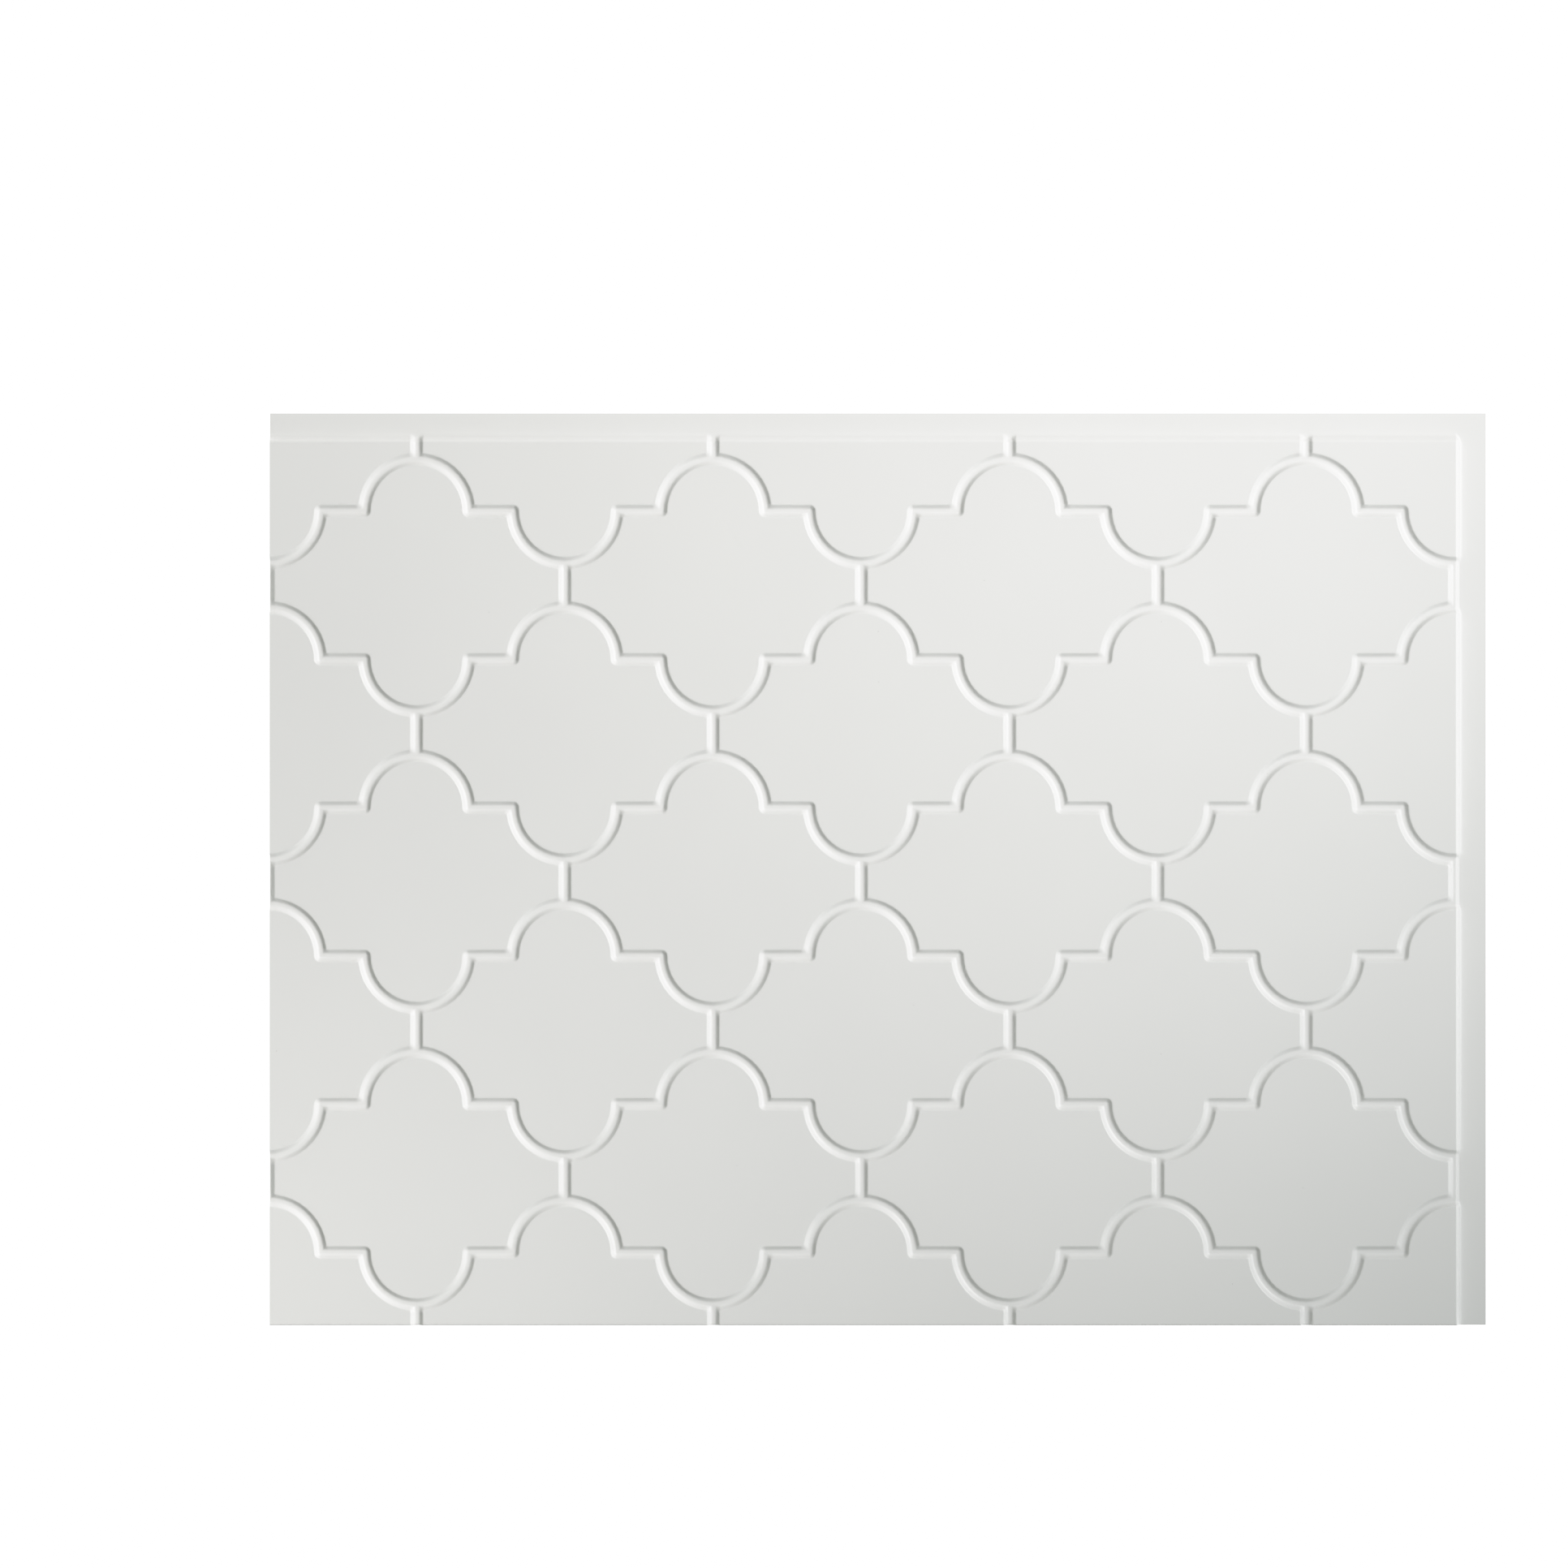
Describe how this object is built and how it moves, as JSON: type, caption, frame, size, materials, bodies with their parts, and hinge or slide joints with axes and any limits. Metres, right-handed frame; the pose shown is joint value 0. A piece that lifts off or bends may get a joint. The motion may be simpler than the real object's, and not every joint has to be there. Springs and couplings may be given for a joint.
{
  "type": "vinyl backsplash panel",
  "caption": "Thermoformed white vinyl wall panel with a raised lantern-tile relief, hollow behind, and flat flanges along the top and right that the next panels lap over.",
  "frame": {"origin": "centre of the panel's outline, at the level of the flange's back face", "axes": "+X along the long side towards the lap flange, +Y along the short side towards the other lap flange, +Z out of the decorated face"},
  "size_m": [0.6254, 0.469, 0.0038],
  "materials": {
    "vinyl": "satin"
  },
  "bodies": {
    "root": {"panel": "vinyl"}
  },
  "joints": []
}
